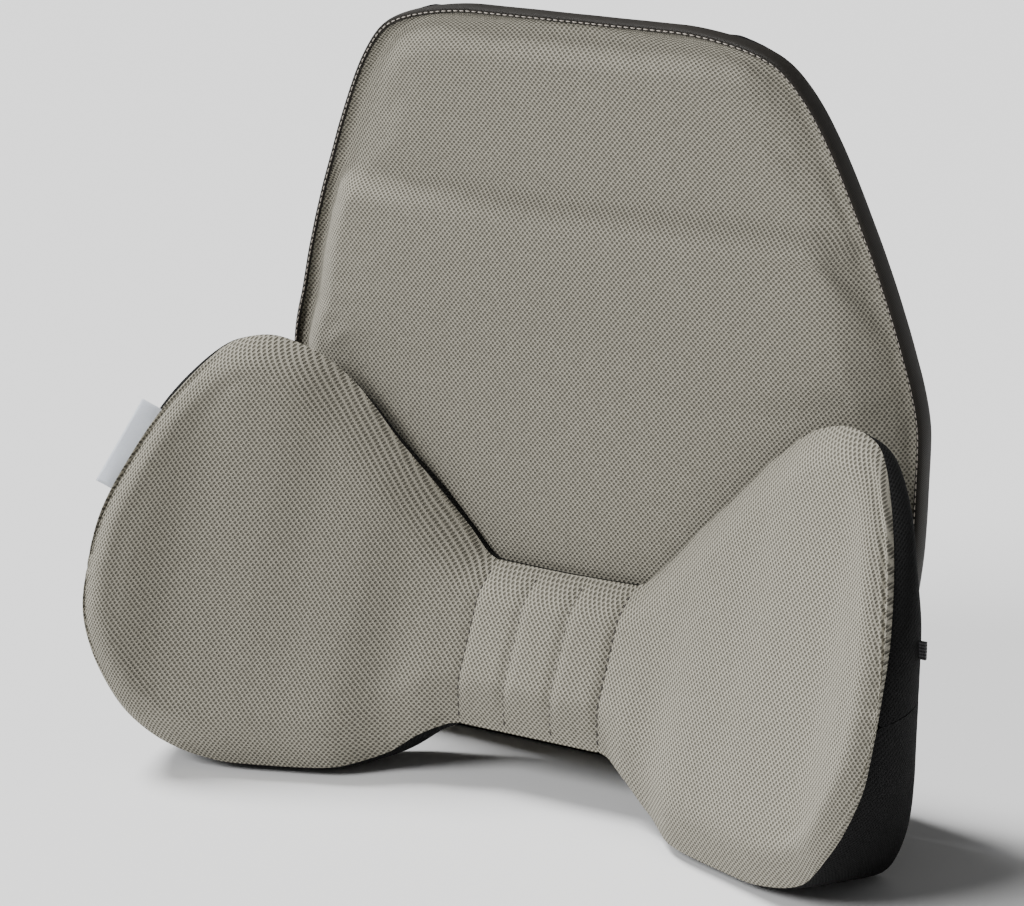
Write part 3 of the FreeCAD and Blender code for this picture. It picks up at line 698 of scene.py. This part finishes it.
def across(low, high, rows, gather):
    """Straight lines between two seams, with points gathered towards the seams."""
    s = np.linspace(0, 1, rows)
    s = (1 - gather) * s + gather * (0.5 - 0.5 * np.cos(np.pi * s))
    return low[:, None] + (high - low)[:, None] * s[None, :, None]


def front_way(low, high):
    """Unit vectors square to the lines between two seams, towards the front."""
    way = high - low
    out = np.stack([0 * way[:, 0], -way[:, 2], way[:, 1]], 1)
    size = np.linalg.norm(out, axis=1, keepdims=True)
    return out / np.maximum(size, 1e-6)


def pleat_dip(x):
    """How deep the sewn pleats pull the fabric in."""
    return sum(PLEAT_DEPTH * np.exp(-np.abs((x - pleat) / PLEAT_WIDTH) ** 1.5) for pleat in PLEATS)


def hip_front(places):
    """The cushion's front as one inflated sheet that is held at its edges and pleats, and its UVs."""
    low, high, _, _ = hip_seams(places)
    base = across(low, high, rows=52, gather=0.55)
    outline = np.concatenate([low, high])
    distance = nearest(base, outline)
    crown = hip_at(places)[-1][:, None]
    rise = knee(distance, HIP_BEVEL - 4 * np.clip((np.abs(base[..., 0]) - 150) / 40, 0, 1)) * crown
    x = base[..., 0]
    rise = rise - pleat_dip(x) * np.clip(distance / 12, 0, 1)
    crease = np.exp(-((distance - HIP_BEVEL) / 3.5) ** 2) * np.clip((np.abs(x) - 150) / 30, 0, 1)
    rise = rise - 1.0 * crease
    out = front_way(low, high)
    grid = base + out[:, None] * rise[..., None]
    obj = sheet_mesh("hip_front_whole", grid)
    index = np.arange(grid.shape[0] * grid.shape[1]).reshape(grid.shape[:2])
    held = [rings_of(*grid.shape[:2])]
    held += [index[np.abs(places - pleat) < 0.2].ravel() for pleat in PLEATS]
    pins = np.unique(np.concatenate(held))
    moved = settle(obj, pins, pressure=1.6, slack=0.016, cap=5.0).reshape(grid.shape)
    middle = lengths(grid, 0)[:, grid.shape[1] // 2]
    uv = np.stack([np.broadcast_to(middle[:, None], x.shape), grid[..., 2]], -1)
    bpy.data.objects.remove(obj)
    return grid + moved, uv


def hip_walls(places):
    """The side walls above and below, bowed outwards, and the rear."""
    low, high, rear_low, rear_high = hip_seams(places)
    walls = []
    for front, rear, sign in ((high, rear_high, 1), (low, rear_low, -1)):
        way = np.gradient(front, axis=0)
        out = np.stack([-way[:, 2], 0 * way[:, 0], way[:, 0]], 1) * sign
        out /= np.maximum(np.linalg.norm(out, axis=1, keepdims=True), 1e-6)
        v = np.linspace(0, 1, 14)
        deep = np.linalg.norm(rear - front, axis=1)
        flat = np.clip((200 - np.abs(front[:, 0])) / 30, 0, 1) * (sign > 0)
        bow = (np.minimum(4.6, 0.22 * deep) * (1 - 0.75 * flat))[:, None]
        wall = front[:, None] + (rear - front)[:, None] * v[None, :, None]
        wall = wall + out[:, None] * (bow * np.sin(np.pi * v)[None] ** 0.7)[..., None]
        wall[..., 2] = np.maximum(wall[..., 2], 0.15)
        walls.append(wall)
    back = across(rear_low, rear_high, rows=40, gather=0.4)
    distance = nearest(back, np.concatenate([rear_low, rear_high]))
    full = 2.5 * knee(distance, 30.0) * np.clip((np.abs(back[..., 0]) - 40) / 40, 0, 1)
    back[..., 1] += full
    return walls[0], walls[1], back


def cut_spans(places):
    """The middle, left and right stretches of the cushion, which share the sections at the outer pleats."""
    middle = np.where(np.abs(places) <= WAIST + 0.2)[0]
    left = np.where(places <= -WAIST + 0.2)[0]
    right = np.where(places >= WAIST - 0.2)[0]
    return (("waist", middle), ("wing_left", left), ("wing_right", right))


def bind_to(obj, body):
    """Waist pieces ride on the waist; a wing's pieces are only baked in place and ride on no body."""
    if body == "waist":
        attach(obj, "waist")
        return
    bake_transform(obj)


def build_hip():
    """The cushion's covers, cut into the waist and two wings."""
    places = hip_places()
    front, uv = hip_front(places)
    upper, lower, back = hip_walls(places)
    for body, span in cut_spans(places):
        face = sheet_mesh(f"{body}_front_fabric", front[span], uv=uv[span])
        covers = [face]
        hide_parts(f"{body}_front_cover", f"{body}_foam_core")
        for name, grid, flip in (
            ("upper_wall", upper, True), ("lower_wall", lower, False), ("rear_fabric", back, True),
        ):
            covers.append(sheet_mesh(f"{body}_{name}", grid[span], flip=flip))
        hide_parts(f"{body}_side_and_rear_cover")
        if body != "waist":
            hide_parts(f"{body}_end_gusset")
            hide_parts(f"{body}_gel_pad")
        for obj, material in zip(covers, ("knit_face", "knit_side", "knit_side", "knit_side")):
            finer(obj)
            dress(obj, material)
            bind_to(obj, body)
    build_pleat_stitches(places, front)


def build_pleat_stitches(places, front):
    """Dark sewn dashes in the bottom of the four pleats."""
    for number, pleat in enumerate(PLEATS):
        column = front[np.argmin(np.abs(places - pleat))][3:-3]
        way = np.gradient(column, axis=0)
        normal = np.stack([0 * way[:, 0], -way[:, 2], way[:, 1]], 1)
        normal /= np.linalg.norm(normal, axis=1, keepdims=True)
        row = stitches(f"pleat_stitch_{number + 1}", column, normal, PLEAT_STITCH, "thread_dark")
        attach(row, "waist")


def build_label():
    """A blank woven label, folded over at its free end."""
    low, high = (np.array(c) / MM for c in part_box("wing_left_label"))
    top = np.array((high[0], high[1], high[2]))
    foot = np.array((low[0] + 10, low[1], low[2] + 3))
    run = top - foot
    reach = np.array((-0.85, -0.25, 0.40))
    reach -= run * (reach @ run) / (run @ run)
    reach /= np.linalg.norm(reach)
    face = np.cross(run, reach)
    face /= np.linalg.norm(face)
    s = np.linspace(0, 1, 30)
    w = np.linspace(-0.55, 1, 16)
    curl = 1.4 * np.sin(np.pi * np.clip(w, 0, 1) * 0.8)
    grid = foot + run * (0.12 + 0.96 * s[:, None, None]) + reach * (w * LABEL_REACH)[None, :, None]
    grid = grid + face * (curl[None, :] * (0.6 + 0.4 * np.cos(s * 5)[:, None]))[..., None]
    obj = sheet_mesh("woven_label", grid)
    thick = obj.modifiers.new("thick", "SOLIDIFY")
    thick.thickness = 0.0007
    dress(obj, "label", "wing_left")
    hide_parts("wing_left_label")


# ---------------------------------------------------------------- stage

def build_stage():
    """A pale floor, faint light from all round, and two soft suns."""
    mesh = bpy.data.meshes.new("floor")
    corners = [(x * FLOOR_HALF, y * FLOOR_HALF, 0) for x, y in ((-1, -1), (1, -1), (1, 1), (-1, 1))]
    mesh.from_pydata(corners, [], [(0, 1, 2, 3)])
    floor = bpy.data.objects.new("floor", mesh)
    bpy.context.scene.collection.objects.link(floor)
    n = Nodes("floor")
    floor.data.materials.append(n.finish((0.86, 0.86, 0.86), 0.9))
    world = bpy.data.worlds.new("studio")
    bpy.context.scene.world = world
    world.use_nodes = True
    world.node_tree.nodes["Background"].inputs[0].default_value = (1, 1, 1, 1)
    world.node_tree.nodes["Background"].inputs[1].default_value = 0.15
    for name, way, power, spread in (
        ("key", (0.50, 0.90, -0.75), 2.7, 24),
        ("rim", (0.65, -0.05, -1.0), 5.0, 20),
    ):
        sun = bpy.data.lights.new(name, "SUN")
        sun.energy = power
        sun.angle = math.radians(spread)
        lamp = bpy.data.objects.new(name, sun)
        lamp.rotation_euler = Vector(way).to_track_quat("-Z", "Y").to_euler()
        bpy.context.scene.collection.objects.link(lamp)


def build_camera():
    """A long lens, from the front right and above."""
    aim = Vector((-0.0007, REAR * MM - 0.095, 0.1922))
    level = math.cos(CAMERA_ELEVATION)
    way = Vector((
        math.sin(CAMERA_AZIMUTH) * level, -math.cos(CAMERA_AZIMUTH) * level, math.sin(CAMERA_ELEVATION),
    ))
    data = bpy.data.cameras.new("camera")
    data.lens = CAMERA_LENS
    data.sensor_width = CAMERA_SENSOR
    camera = bpy.data.objects.new("camera", data)
    camera.location = aim + way * CAMERA_DISTANCE
    camera.rotation_euler = (-way).to_track_quat("-Z", "Y").to_euler()
    bpy.context.scene.collection.objects.link(camera)
    bpy.context.scene.camera = camera


dress_cad()
build_camera()
build_stage()
build_panel_front()
build_binding()
build_panel_rear()
build_hip()
build_label()
